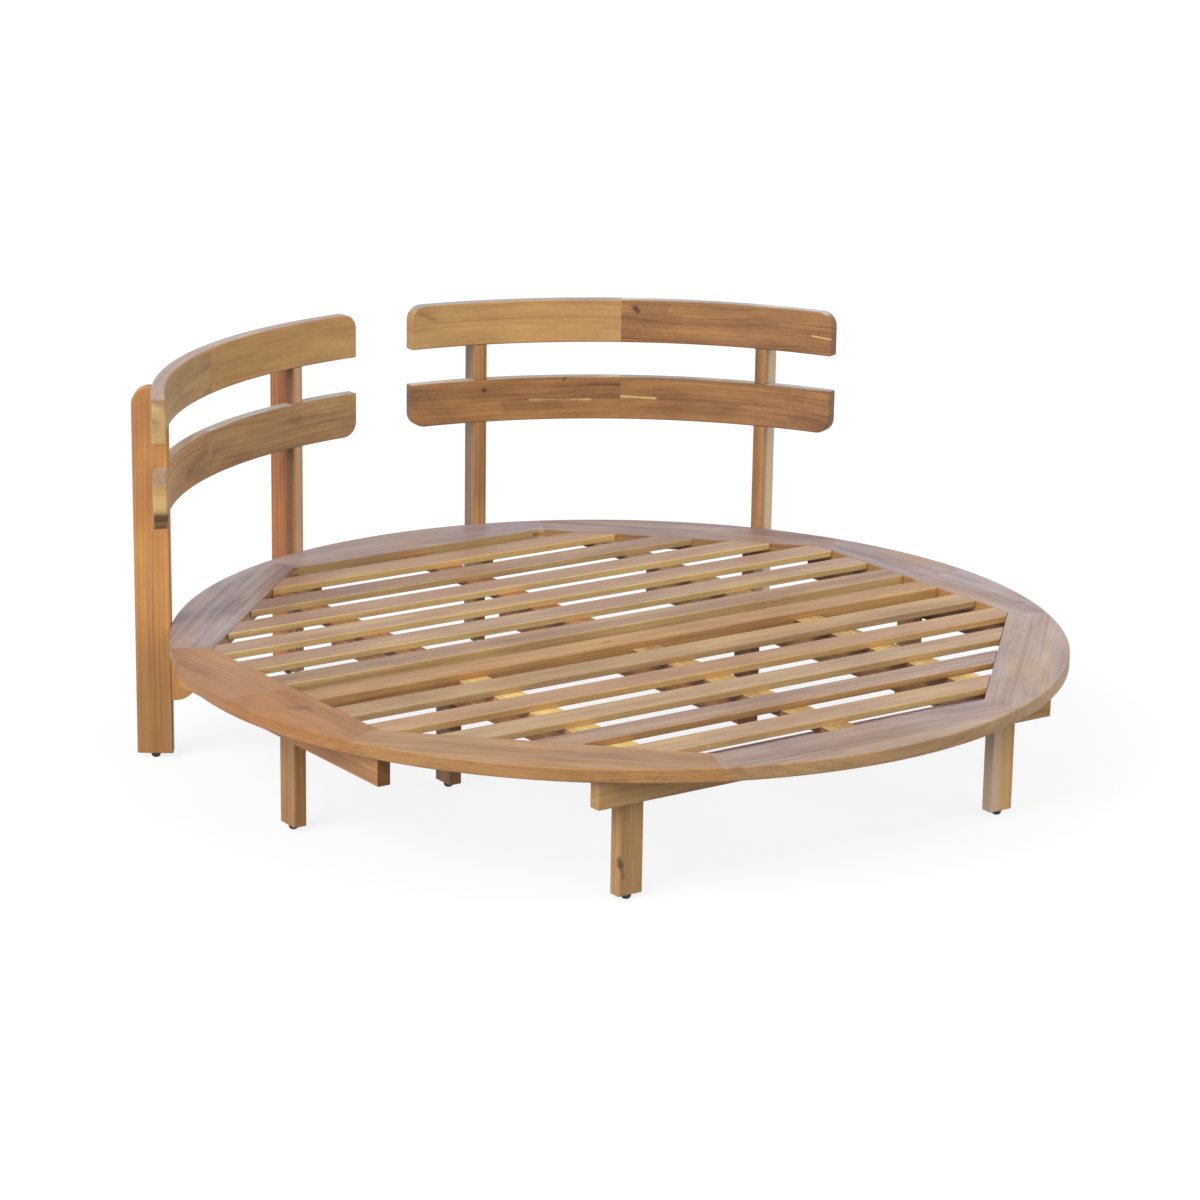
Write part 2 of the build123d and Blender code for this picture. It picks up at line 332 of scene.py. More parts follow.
acacia_grain = build_grain()
print("grain group with", len(acacia_grain.nodes), "nodes")

# %% [markdown]
# The rails of the backrests are glued up from narrower staves. Each stave came from another place, so
# the tone and the grain jump at a glue line, and a fine darker line is left between them. One board
# could be modelled per stave, but nothing shows between them except colour, so the group only says for
# each point which stave it lies in and how near the line is.

# %% Staves
glue_line_reach = 0.0012       # metres from the line


def build_staves():
    """The group that says whether a point is in every second stave, and if it is at a glue line."""
    tree, given, gives = new_group(
        "staves",
        {"Across": (FLOAT, None), "First Line": (FLOAT, 0.0), "Stave Width": (FLOAT, 0.05)},
        {"Second": (FLOAT, None), "Line": (FLOAT, None)})
    place = calc(tree, "DIVIDE", calc(tree, "SUBTRACT", given["Across"], given["First Line"]),
                 given["Stave Width"])
    feed(tree, gives["Second"], calc(tree, "FLOORED_MODULO", calc(tree, "FLOOR", place), 2.0))
    inside = calc(tree, "FRACT", place)
    beside = calc(tree, "MINIMUM", inside, calc(tree, "SUBTRACT", 1.0, inside))
    off_line = calc(tree, "MULTIPLY", beside, given["Stave Width"])
    feed(tree, gives["Line"], calc(
        tree, "SUBTRACT", 1.0, calc(tree, "DIVIDE", off_line, glue_line_reach), clamp=True))
    return tree


staves = build_staves()
print("staves group ready")

# %% [markdown]
# Some marks in the wood can be told one by one in the photograph: dark knots, pale streaks and stripes.
# Each is a short line through the wood with a soft, uneven edge. Because it is a place in space and not
# on a picture, it goes on round the board's edge, as a real knot does.

# %% Knots and streaks
ragged_noise = ((160.0, 160.0, 160.0), 2.0)      # spots per metre, and their detail
mark_steepness, mark_softness = 1.6, 0.1


def build_mark():
    """The group that masks everything near a line, with a ragged edge."""
    tree, given, gives = new_group(
        "mark_in_wood",
        {"Vector": (VECTOR, None), "Start": (VECTOR, None), "End": (VECTOR, None),
         "Reach": (FLOAT, 0.005), "Ragged": (FLOAT, 0.5)},
        {"Mask": (FLOAT, None)})
    from_start = vector_calc(tree, "SUBTRACT", given["Vector"], given["Start"])["Vector"]
    line = vector_calc(tree, "SUBTRACT", given["End"], given["Start"])["Vector"]
    share = calc(tree, "DIVIDE", vector_calc(tree, "DOT_PRODUCT", from_start, line)["Value"],
                 vector_calc(tree, "DOT_PRODUCT", line, line)["Value"], clamp=True)
    off = vector_calc(tree, "DISTANCE", from_start, times(tree, line, share))["Value"]
    rough = swing(tree, noise(tree, given["Vector"], *ragged_noise), given["Ragged"])
    near = calc(tree, "SUBTRACT", 1.0, calc(tree, "DIVIDE", off, given["Reach"]))
    mask = calc(tree, "MULTIPLY", calc(tree, "ADD", near, rough), mark_steepness)
    feed(tree, gives["Mask"], calc(tree, "SMOOTH_MAX", mask, 0.0, mark_softness, clamp=True))
    return tree


mark_in_wood = build_mark()
print("mark group ready")

# %% [markdown]
# Where hands and cushions rub, the oil on a board's edge wears away and the edge looks paler and smoother.
# The paler colour also paints the highlight that a rounded edge catches. A bevel node looks a few
# millimetres round each point: where the rounded surface turns away from the flat one, there is an edge.

# %% Edge wear and painted edge highlights
wear_reach = 0.0025                             # metres from the edge
edge_steepness = 5.0
worn_noise, worn_rise = ((22.0, 22.0, 22.0), 3.0), (0.35, 3.0)


def build_edge_wear():
    """The group that masks worn edges, where a paler colour is also a painted highlight, and gives a
    normal that is rounded there.
    """
    tree, given, gives = new_group(
        "rubbed_and_lit_edges", {"Vector": (VECTOR, None), "Reach": (FLOAT, wear_reach)},
        {"Mask": (FLOAT, None), "Normal": (VECTOR, None)})
    rounded = put(tree, "ShaderNodeBevel", {"samples": 4}, Radius=given["Reach"]).outputs[0]
    flat = tree.nodes.new("ShaderNodeNewGeometry").outputs["Normal"]
    alike = vector_calc(tree, "DOT_PRODUCT", rounded, flat)["Value"]
    edge = calc(tree, "MULTIPLY", calc(tree, "SUBTRACT", 1.0, alike), edge_steepness, clamp=True)
    worn = rising(tree, noise(tree, given["Vector"], *worn_noise), *worn_rise)
    feed(tree, gives["Mask"], calc(tree, "MULTIPLY", edge, worn))
    feed(tree, gives["Normal"], rounded)
    return tree


rubbed_and_lit_edges = build_edge_wear()
print("edge wear group ready")

# %% [markdown]
# Faces that look up are painted with a reflection of the sky: a mauve and grey sheen in patches that
# follow the board, while sides and undersides keep their gold. On some boards the same tint paints light
# on the top, and on others shade: lighter tops on the battens and the apron, darker ones on the rear
# slats. A veil of one grey would hide the grain. So the group only makes a mask, from the way the surface
# faces and two noises, and each board is multiplied by a tint there.

# %% Painted sky sheen and light on the tops
upward_rise = (0.75, 6.0)                       # how level a face has to be to take the painted sheen, and how fast
cloud_noise, cloud_swing = ((2.4, 10.0, 10.0), 3.0, 0.6), 2.4
line_noise, line_swing = ((1.5, 150.0, 150.0), 3.0, 0.6), 0.5


def build_painted_top_light():
    """The group that masks the painted sheen and light on faces that look up."""
    tree, given, gives = new_group(
        "painted_top_light", {"Vector": (VECTOR, None), "Amount": (FLOAT, 0.4)}, {"Mask": (FLOAT, None)})
    normal = tree.nodes.new("ShaderNodeNewGeometry").outputs["Normal"]
    upward = put(tree, "ShaderNodeSeparateXYZ", Vector=normal).outputs["Z"]
    facing = rising(tree, upward, *upward_rise)
    cloud = noise(tree, given["Vector"], *cloud_noise)
    lines = noise(tree, given["Vector"], *line_noise)
    uneven = added(tree, swing(tree, cloud, cloud_swing), swing(tree, lines, line_swing), 1.0)
    feed(tree, gives["Mask"], calc(tree, "MULTIPLY", calc(tree, "MULTIPLY", facing, uneven),
                                   given["Amount"], clamp=True))
    return tree


painted_top_light = build_painted_top_light()
print("fade group ready")

# %% [markdown]
# Each board was cut from another place of another log, so no two have the same grain. One function lays
# the coordinates along the board, and for a rail the next one splits it into its staves. The board's
# mesh isn't touched: only the coordinates that the nodes read are turned and moved.

# %% Coordinates along a board
stave_jump = 9.0       # metres from one stave to the next along the log


def along_board(tree, turn, shift):
    """Object coordinates, the same turned so that the grain runs along X, and the turned normal."""
    place = tree.nodes.new("ShaderNodeTexCoord").outputs["Object"]
    board = put(tree, "ShaderNodeMapping", Vector=place, Rotation=turn, Location=shift).outputs[0]
    normal = tree.nodes.new("ShaderNodeNewGeometry").outputs["Normal"]
    turned = put(tree, "ShaderNodeMapping", {"vector_type": "NORMAL"}, Vector=normal,
                 Rotation=turn).outputs[0]
    return place, board, turned


def glued(tree, place, board, tone, glue):
    """Splits a board into staves: where each point is in its own log, its tone and the glue line."""
    direction, first_line, width, contrast = glue
    across = vector_calc(tree, "DOT_PRODUCT", place, direction)["Value"]
    part = group_node(tree, staves, Across=across, First_Line=first_line, Stave_Width=width)
    tone = calc(tree, "ADD", swing(tree, part.outputs["Second"], contrast), tone)
    jump = put(tree, "ShaderNodeCombineXYZ",
               X=calc(tree, "MULTIPLY", part.outputs["Second"], stave_jump)).outputs[0]
    return vector_calc(tree, "ADD", board, jump)["Vector"], tone, part.outputs["Line"]


print("staves lie", stave_jump, "m apart in the log")

# %% [markdown]
# On the bare grain come the marks, the darker end grain, which drinks more oil and also carries painted
# shade, and the painted sheen and light of the top. Each is one step that takes a colour and gives a
# colour, so that a step can be left out or changed.

# %% Steps from the grain to the finished colour
glue_line_colour = (0.30, 0.15, 0.06, 1.0)
end_grain_and_shade_colour = (0.52, 0.46, 0.42, 1.0)
rubbed_and_lit_colour = (0.62, 0.40, 0.19, 1.0)
glue_line_share, rubbed_and_lit_share = 0.35, 0.3
end_on_from, end_on_slope = 0.75, 4.0           # how square to the grain an end is, and how fast


def with_marks(tree, place, colour, marks):
    """Lays knots, streaks and stripes over the colour."""
    for start, end, reach, ragged, strength, paint in marks:
        mark = group_node(tree, mark_in_wood, Vector=place, Start=start, End=end, Reach=reach,
                          Ragged=ragged)
        share = calc(tree, "MULTIPLY", mark.outputs["Mask"], strength)
        colour = blend_colours(tree, "MIX", share, colour, paint)
    return colour


def with_end_grain_and_shade(tree, facing, colour, darkness):
    """Darkens the ends of the board."""
    end_on = calc(tree, "ABSOLUTE", put(tree, "ShaderNodeSeparateXYZ", Vector=facing).outputs["X"])
    # Darker end grain, and painted shade: the ends of joists and side beams, which stand in shade, are
    # darkened most.
    mask = rising(tree, end_on, end_on_from, end_on_slope * darkness)
    return blend_colours(tree, "MULTIPLY", mask, colour, end_grain_and_shade_colour)


def with_painted_top_light(tree, board, colour, top_light_amount, tint):
    """Multiplies the top by a tint where the painted sheen and light lie."""
    top_light = group_node(tree, painted_top_light, Vector=board, Amount=top_light_amount)
    return blend_colours(tree, "MULTIPLY", top_light.outputs["Mask"], colour, tint)


print("a worn edge takes", rubbed_and_lit_share, "of the worn colour")

# %% [markdown]
# One function makes a board's material. Its rows of the tables below give the cut, the look, the staves
# and the marks, and a seeded draw gives its place in the log. The finish is a satin oil: a plain
# Principled BSDF with a thin coat, and its roughness and height follow the grain.

# %% One material per board
grain_height, grain_relief = 0.0005, 0.3        # metres, and the share of it that shows
oil_roughness, worn_smoother = 0.5, 0.08
oil_ior, coat_weight, coat_roughness = 1.45, 0.1, 0.4
log_reach = 40                                  # a board starts up to this many metres up or down
nearest, farthest = 0.7, 1.3                    # of its kind's distance from the log's middle


def place_in_log(draw, aside, above):
    """A board's own place in its log, the same each time for the same draw."""
    chance = random.Random(draw)
    return Vector((chance.uniform(-log_reach, log_reach), aside * chance.uniform(nearest, farthest),
                   chance.choice((-1, 1)) * above * chance.uniform(nearest, farthest)))


def wood(name, turn, cut, look, draw, tint, glue=None, marks=()):
    """A board's material. turn lays the grain along X, and the rest are its rows of the tables."""
    figure, ring_width, sway, end_dark, aside, above = cut
    tone, shade, top_light_amount = look
    low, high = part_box(name)
    middle = (low + high) / 2
    middle.rotate(Euler(turn))
    material = bpy.data.materials.new("acacia_" + name)
    material.use_nodes = True
    tree = material.node_tree
    tree.nodes.clear()
    place, board, facing = along_board(tree, turn, place_in_log(draw, aside, above) - middle)
    if glue:
        board, tone, line = glued(tree, place, board, tone, glue)
    grain = group_node(tree, acacia_grain, Vector=board, Ring_Width=ring_width, Sway=sway,
                       Figure=figure, Tone=tone, Red=max(0.0, -shade), Straw=max(0.0, shade))
    colour = grain.outputs["Color"]
    if glue:
        colour = blend_colours(tree, "MIX", calc(tree, "MULTIPLY", line, glue_line_share), colour,
                               glue_line_colour)
    colour = with_marks(tree, place, colour, marks)
    colour = with_end_grain_and_shade(tree, facing, colour, end_dark)
    colour = with_painted_top_light(tree, board, colour, top_light_amount, tint)
    rubbed_and_lit = group_node(tree, rubbed_and_lit_edges, Vector=place)
    # Worn edges turn paler, which also paints their highlight.
    colour = blend_colours(tree, "MIX", calc(tree, "MULTIPLY", rubbed_and_lit.outputs["Mask"], rubbed_and_lit_share),
                           colour, rubbed_and_lit_colour)
    rough = calc(tree, "SUBTRACT", calc(tree, "ADD", grain.outputs["Roughness"], oil_roughness),
                 calc(tree, "MULTIPLY", rubbed_and_lit.outputs["Mask"], worn_smoother), clamp=True)
    bump = put(tree, "ShaderNodeBump", Strength=grain_relief, Distance=grain_height,
               Height=grain.outputs["Height"], Normal=rubbed_and_lit.outputs["Normal"])
    surface = put(tree, "ShaderNodeBsdfPrincipled", Base_Color=colour, Roughness=rough,
                  Normal=bump.outputs[0])
    surface.inputs["IOR"].default_value = oil_ior
    surface.inputs["Coat Weight"].default_value = coat_weight
    surface.inputs["Coat Roughness"].default_value = coat_roughness
    end = tree.nodes.new("ShaderNodeOutputMaterial")
    tree.links.new(surface.outputs[0], end.inputs[0])
    return material


def dress(name, material):
    """Puts a material on a node of the frame."""
    piece = nodes[name]
    for slot in piece.material_slots:
        slot.material = material
    if not piece.material_slots:
        piece.data.materials.append(material)


print("ready to dress the boards")

# %% [markdown]
# Few boards have the same colour, and that mix is what makes the bed look alive: honey slats, orange
# posts, a golden left side of the ring and mauve boards behind it, whose mauve is a painted reflection of
# the sky. One tone for all would be quicker, but it looks like plastic. Each row says how a board looks:
# its tone from dark (0) to light (1), its shade from red brown to yellow, and how much painted sheen and
# light its top takes. Several boards under the deck, such as the inner legs, the right side beam and most
# battens, have darker tones that paint the shade they stand in. They were found by comparing renders with
# the photograph board by board, and are written in round steps, because a board that is half a step off
# still looks like this bed.

# %% How each board looks
red, rust, plain, honey, straw, yellow = -0.9, -0.45, 0.05, 0.45, 0.85, 1.15
# how much painted sheen and light a top takes, from least to full
top_light_least, hint, some, half, most, top_light_full = 0.05, 0.15, 0.35, 0.6, 0.8, 1.0
looks = {
    "ring_board_front": (0.45, straw, some), "ring_board_front_left": (0.50, plain, hint),
    "ring_board_front_right": (0.55, yellow, some), "ring_board_rear": (0.65, straw, half),
    "ring_board_left_front": (0.50, rust, top_light_least), "ring_board_left_rear": (0.50, rust, hint),
    "ring_board_rear_left": (0.45, plain, top_light_full), "ring_board_rear_right": (0.35, plain, half),
    "ring_board_right_front": (0.50, plain, most), "ring_board_right_rear": (0.45, plain, top_light_full),
    "thick_board_front": (0.60, plain, hint), "thick_board_rear": (0.70, straw, top_light_full),
    "slat_front_1": (0.55, yellow, top_light_least), "slat_front_2": (0.75, honey, top_light_full),
    "slat_front_3": (0.60, straw, hint), "slat_front_4": (0.50, honey, some),
    "slat_front_5": (0.75, straw, top_light_full), "slat_rear_1": (0.85, yellow, top_light_full),
    "slat_rear_2": (0.85, straw, top_light_full), "slat_rear_3": (0.85, straw, top_light_full),
    "slat_rear_4": (0.65, yellow, top_light_full), "slat_rear_5": (0.90, honey, top_light_full),
    # Battens, joists, beams and legs: the darker tones among them paint the shade under the deck.
    "batten_front_left": (0.70, plain, top_light_full), "batten_front_middle": (0.30, honey, top_light_full),
    "batten_front_right": (0.25, red, top_light_full), "batten_rear_left": (0.25, red, half),
    "batten_rear_middle": (0.40, red, hint), "batten_rear_right": (0.25, honey, half),
    "apron": (0.60, honey, top_light_full), "middle_joist": (0.50, red, hint),
    "quarter_joist_left": (0.65, red, hint), "quarter_joist_right": (0.45, plain, hint),
    "side_beam_left": (0.60, rust, hint), "side_beam_right": (0.15, red, hint),
    "front_leg_left": (0.65, honey, some), "front_leg_right": (0.90, honey, some),
    "side_leg_left": (0.50, plain, some), "side_leg_right": (0.50, plain, some),
    "inner_leg_left": (0.25, plain, some), "inner_leg_right": (0.20, red, some),
    "post_left_outer": (0.75, rust, hint), "post_left_inner": (0.55, red, hint),
    "post_right_inner": (0.45, plain, hint), "post_right_outer": (0.45, plain, hint),
    "corbel_left_outer": (0.70, rust, hint), "corbel_left_inner": (0.60, plain, hint),
    "corbel_right_inner": (0.60, plain, hint), "corbel_right_outer": (0.60, plain, hint),
    "upper_rail_left_outer": (0.60, yellow, half), "upper_rail_left_inner": (0.75, honey, most),
    "upper_rail_right_inner": (0.65, honey, top_light_full), "upper_rail_right_outer": (0.40, plain, top_light_full),
    "lower_rail_left_outer": (0.60, honey, some), "lower_rail_left_inner": (0.55, straw, top_light_full),
    "lower_rail_right_inner": (0.45, plain, most), "lower_rail_right_outer": (0.35, plain, top_light_full),
}
print(len(looks), "looks in the table")

# %% [markdown]
# The grain runs along every board, as it does on the real one, where the sawyer cuts with the grain.
# Deck boards lie along X, joists across it, the mitred ones of the ring at an angle, and each half of a
# rail follows its own stretch of the circle. Posts and legs stand upright. One function says for each
# name how the coordinates are turned, because the names already hold where a board is.

# %% Which way each board's grain runs
def level(degrees):
    """Lays the grain of a level board, which runs at this angle from X, along X."""
    return (0.0, 0.0, -math.radians(degrees))


upright = (0.0, math.radians(90), 0.0)
side_on = 90                                     # all angles here are in degrees
half_rail = 15.25                                # from a backrest's middle to that of half a rail
backrest_across = {"left": 35, "right": 145}     # how the grain runs in each backrest's middle
ring_turns = {"front_left": -45, "front_right": 45, "rear_left": 45, "rear_right": -45,
              "left_front": 90, "left_rear": 90, "right_front": 90, "right_rear": 90}


def turn_of(name):
    """The rotation that lays this board's grain along X."""
    if name.startswith("ring_board_"):
        return level(ring_turns.get(name[len("ring_board_"):], 0))
    if "_rail_" in name:
        side, stretch = name.split("_")[2:]
        outward = (1 if stretch == "outer" else -1) * (1 if side == "left" else -1)
        return level(backrest_across[side] + outward * half_rail)
    if name.startswith(("post", "corbel", "front_leg", "side_leg", "inner_leg")):
        return upright
    return level(side_on if name.startswith(("batten", "quarter", "middle", "side_beam")) else 0)


print("the front left ring board turns by", ring_turns["front_left"], "degrees")

# %% [markdown]
# How a board was sawn decides its pattern: a cut through the middle of the log shows tight straight
# lines, and one near its outside wide ones. Rows are looked up by the start of a board's name, and the
# first row that fits is taken, so that a single board can have a row of its own before its kind.

# %% How each kind of board was sawn, and the painted light on its top
# Each row has the strength of the figure, the width of a ring and its sway, the darkness of the end grain,
# which on ends that stand in shade is also painted shade, and how far aside and above the log's middle
# was. Lengths are in metres.
cuts = {
    "ring_board": (0.55, 0.016, 0.045, 0.3, 0.10, 0.06),
    "thick_board": (1.4, 0.012, 0.015, 0.5, 0.10, 0.05),
    "slat": (0.75, 0.014, 0.015, 0.5, 0.12, 0.06),
    "batten": (0.8, 0.014, 0.010, 0.5, 0.10, 0.05),
    "apron": (0.9, 0.014, 0.015, 0.0, 0.06, 0.10),
    "quarter_joist": (1.0, 0.014, 0.015, 1.0, 0.06, 0.10),
    "middle_joist": (1.0, 0.014, 0.015, 1.0, 0.06, 0.10),
    "side_beam": (1.0, 0.014, 0.015, 1.0, 0.06, 0.10),
    "post": (1.3, 0.010, 0.010, 0.5, 0.12, 0.08),
    "corbel": (0.7, 0.014, 0.010, 0.5, 0.10, 0.08),
    "front_leg": (1.0, 0.009, 0.010, 0.5, 0.10, 0.10),
    "side_leg": (0.8, 0.010, 0.010, 0.5, 0.10, 0.10),
    "inner_leg": (0.9, 0.010, 0.010, 0.5, 0.10, 0.10),
    "lower_rail_left": (0.8, 0.013, 0.07, 0.0, 0.03, 0.16),
    "upper_rail_left": (0.6, 0.013, 0.05, 0.0, 0.03, 0.16),
    "lower_rail_right": (0.8, 0.013, 0.06, 0.5, 0.03, 0.16),
    "upper_rail_right_inner": (0.45, 0.012, 0.04, 0.5, 0.03, 0.16),
    "upper_rail_right_outer": (0.9, 0.012, 0.12, 0.5, 0.03, 0.16),
}
sky_sheen_tint = (0.94, 1.48, 4.2, 1.0)       # a painted reflection of the sky on a top, as a tint
tints = {       # single boards and kinds whose tops have their own tint of painted light, shade and reflection
    "ring_board_rear_": sky_sheen_tint, "ring_board_rear": (0.60, 0.80, 2.50, 1.0),
    "thick_board_front": (0.60, 1.00, 3.00, 1.0), "thick_board_rear": (0.70, 0.70, 1.10, 1.0),
    "slat_rear": (0.65, 0.62, 1.00, 1.0), "slat_front_2": (0.80, 0.80, 1.20, 1.0),
    "slat_front_5": (0.80, 0.80, 1.20, 1.0), "apron": (2.00, 3.00, 9.00, 1.0),
    "batten_front_right": (2.60, 5.00, 5.00, 1.0), "batten_front_middle": (2.10, 2.70, 2.20, 1.0),
    "batten": (1.55, 2.10, 2.30, 1.0), "lower_rail_left": (1.10, 1.80, 4.00, 1.0),
    "upper_rail_left": (0.70, 1.00, 2.70, 1.0), "upper_rail_right_inner": (0.70, 1.15, 3.20, 1.0),
    "upper_rail_right_outer": (1.50, 3.00, 8.00, 1.0), "lower_rail_right": (1.50, 3.00, 8.00, 1.0),
}


def first_row(table, name, otherwise=None):
    """The first row of a table whose key starts the board's name."""
    return next((row for start, row in table.items() if name.startswith(start)), otherwise)


print(len(cuts), "cuts and", len(tints), "ways to fade")

# %% [markdown]
# The rails are glued up from staves of other tones. The plan says how high a stave is, and how much
# lighter every second one. The lines run level, so the staves are counted upward from each rail's foot.

# %% Staves of the rails
rail_foot = {row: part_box(row + "_rail_left_inner")[0].z for row in ("lower", "upper")}
stave_plan = {   # the height of a stave, and how much lighter every second one is
    "upper_rail_left_outer": (0.048, -0.08), "upper_rail_left_inner": (0.060, 0.06),
    "upper_rail_right_inner": (0.062, -0.06), "upper_rail_right_outer": (0.075, 0.04),
    "lower_rail_left_outer": (0.052, 0.16), "lower_rail_left_inner": (0.070, 0.08),
    "lower_rail_right_inner": (0.050, -0.04), "lower_rail_right_outer": (0.050, 0.04),
}
upward = (0.0, 0.0, 1.0)
glues = {name: (upward, rail_foot[name.split("_")[0]], width, contrast)
         for name, (width, contrast) in stave_plan.items()}
print("rails start at", [round(foot, 3) for foot in rail_foot.values()])

# %% [markdown]
# These are the marks that the photograph shows one by one, such as the knot in the left front leg and
# the pale streaks in the right rails. Each row is a line through the wood, in metres and in the frame's
# own directions. Without them each board would still look like wood, but not like this bed.

# %% Marks that belong to one board
dark = (0.055, 0.026, 0.016, 1.0)       # a knot
pale = (0.68, 0.47, 0.20, 1.0)          # a streak of sapwood
cream = (0.78, 0.56, 0.32, 1.0)         # a side of sapwood
amber = (0.40, 0.20, 0.07, 1.0)         # a spot that has kept its oil
brown = (0.13, 0.06, 0.03, 1.0)         # a stripe of old heartwood
ashen = (0.70, 0.53, 0.41, 1.0)         # a side that has gone grey
deck_top = deck_middle.z
leg_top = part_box("front_leg_right")[1].z
whole_height = cad_high.z
marks = {   # start, end, reach, raggedness, strength, colour
    "post_left_inner": [
        ((-0.278, 0.954, 0.0), (-0.278, 0.954, whole_height), 0.019, 0.3, 0.75, brown),
        ((-0.259, 0.940, 0.0), (-0.259, 0.940, whole_height), 0.017, 0.3, 0.60, cream)],
    "post_left_outer": [((-0.860, 0.573, 0.0), (-0.860, 0.573, 0.14), 0.22, 0.2, 0.25, brown)],
    "front_leg_right": [((0.464, -0.755, 0.0), (0.464, -0.755, leg_top), 0.036, 0.3, 0.85, ashen)],
    "post_right_outer": [((0.869, 0.567, 0.0), (0.869, 0.567, whole_height), 0.050, 0.3, 0.95, cream)],
    "ring_board_left_front": [
        ((-0.915, -0.145, deck_top), (-0.890, -0.158, deck_top), 0.020, 0.9, 0.30, dark)],
    "ring_board_left_rear": [
        ((-0.930, 0.020, deck_top), (-0.900, 0.060, deck_top), 0.16, 0.6, 0.45, amber)],
    "ring_board_right_front": [
        ((0.917, -0.316, deck_top), (0.928, -0.324, deck_top), 0.006, 0.8, 0.6, dark)],
    "lower_rail_right_inner": [
        ((0.265, 0.941, 0.649), (0.269, 0.941, 0.649), 0.007, 0.8, 0.9, dark),
        ((0.452, 0.869, 0.667), (0.458, 0.866, 0.677), 0.004, 0.8, 0.7, dark),
        ((0.377, 0.903, 0.619), (0.511, 0.836, 0.618), 0.004, 0.9, 0.65, pale),
        ((0.320, 0.920, 0.604), (0.440, 0.875, 0.607), 0.022, 1.6, 0.22, dark)],
    "lower_rail_right_outer": [
        ((0.575, 0.795, 0.626), (0.642, 0.743, 0.623), 0.004, 0.9, 0.8, pale)],
    "upper_rail_right_outer": [
        ((0.600, 0.776, 0.848), (0.605, 0.772, 0.840), 0.009, 1.3, 0.85, dark),
        ((0.600, 0.776, 0.850), (0.655, 0.730, 0.848), 0.018, 1.5, 0.30, dark),
        ((0.887, 0.438, 0.808), (0.911, 0.389, 0.804), 0.003, 0.8, 0.8, pale)],
    "upper_rail_right_inner": [
        ((0.100, 0.972, 0.853), (0.143, 0.967, 0.830), 0.008, 1.4, 0.25, dark)],
    "upper_rail_left_outer": [
        ((-0.936, 0.405, 0.862), (-0.909, 0.393, 0.862), 0.018, 0.6, 0.50, brown),
        ((-0.936, 0.405, 0.838), (-0.909, 0.393, 0.818), 0.020, 0.6, 0.60, pale),
        ((-0.705, 0.686, 0.806), (-0.571, 0.798, 0.817), 0.009, 1.0, 0.45, pale)],
    "lower_rail_left_outer": [
        ((-0.936, 0.405, 0.634), (-0.909, 0.393, 0.634), 0.028, 0.4, 0.75, pale),
        ((-0.936, 0.405, 0.600), (-0.909, 0.393, 0.600), 0.014, 0.4, 0.85, dark),
        ((-0.690, 0.700, 0.608), (-0.602, 0.775, 0.633), 0.018, 1.5, 0.35, dark)],
    "lower_rail_left_inner": [
        ((-0.567, 0.800, 0.624), (-0.254, 0.944, 0.639), 0.012, 1.2, 0.30, dark)],
    "front_leg_left": [
        ((-0.523, -0.770, 0.090), (-0.519, -0.770, 0.078), 0.009, 1.3, 0.75, dark),
        ((-0.518, -0.770, 0.078), (-0.512, -0.770, 0.050), 0.006, 1.3, 0.45, dark)],
    "thick_board_front": [
        ((-0.086, -0.088, deck_top), (-0.070, -0.086, deck_top), 0.006, 0.8, 0.6, dark)],
    # Two small pale dots, on the front slat and on the apron.
    "slat_front_5": [
        ((-0.327, -0.796, 0.306), (-0.324, -0.796, 0.306), 0.005, 0.3, 0.7, pale)],
    "apron": [((-0.438, -0.801, 0.270), (-0.435, -0.801, 0.270), 0.005, 0.3, 0.9, pale)],
}
print(sum(len(rows) for rows in marks.values()), "marks on", len(marks), "boards")

# %% [markdown]
# Now every board gets its own material. The draws are counted in the order of the boards' names, so each
# board keeps its own grain from run to run.

# %% Dress the boards
first_draw = 101
for draw, name in enumerate(sorted(looks), start=first_draw):
    material = wood(name, turn_of(name), first_row(cuts, name), looks[name], draw,
                    first_row(tints, name, sky_sheen_tint), glues.get(name), marks.get(name, ()))
    dress(name, material)
print("boards dressed:", len(looks))

# %% [markdown]
# The feet stand on black plastic glides, and bolts hold the posts. The plastic is matt with fine
# scuffs, and the bolts are plain zinc plated steel.

# %% Plastic and steel
scuff_detail, scuff_rough = 4.0, 0.3
scuff_height, scuff_relief = 0.0002, 0.2        # metres, and the share of it that shows


def plain_finish(name, colour, other, rough, metal, spots_per_metre):
    """A finish of two close colours in small spots, with fine scuffs."""
    material = bpy.data.materials.new(name)
    material.use_nodes = True
    tree = material.node_tree
    tree.nodes.clear()
    place = tree.nodes.new("ShaderNodeTexCoord").outputs["Object"]
    spots = noise(tree, place, (spots_per_metre,) * 3, scuff_detail)
    paint = blend_colours(tree, "MIX", spots, (*colour, 1.0), (*other, 1.0))
    roughness = calc(tree, "ADD", swing(tree, spots, scuff_rough), rough)
    bump = put(tree, "ShaderNodeBump", Strength=scuff_relief, Distance=scuff_height, Height=spots)
    surface = put(tree, "ShaderNodeBsdfPrincipled", Base_Color=paint, Roughness=roughness,
                  Normal=bump.outputs[0])
    surface.inputs["Metallic"].default_value = metal
    end = tree.nodes.new("ShaderNodeOutputMaterial")
    tree.links.new(surface.outputs[0], end.inputs[0])
    return material


dress("foot_glides", plain_finish("black_plastic", (0.012, 0.012, 0.013), (0.022, 0.022, 0.024),
                                  rough=0.5, metal=0.0, spots_per_metre=900))
dress("post_bolts", plain_finish("zinc_steel", (0.50, 0.51, 0.52), (0.62, 0.62, 0.60),
                                 rough=0.35, metal=1.0, spots_per_metre=500))
print("plastic and steel done")

# %% [markdown]
# The photograph has soft, even studio light. Area lamps could be hung round the bed, but their light
# fades over two metres of deck. Two wide suns give the same light everywhere: the key from the left and
# a weaker fill from the right.

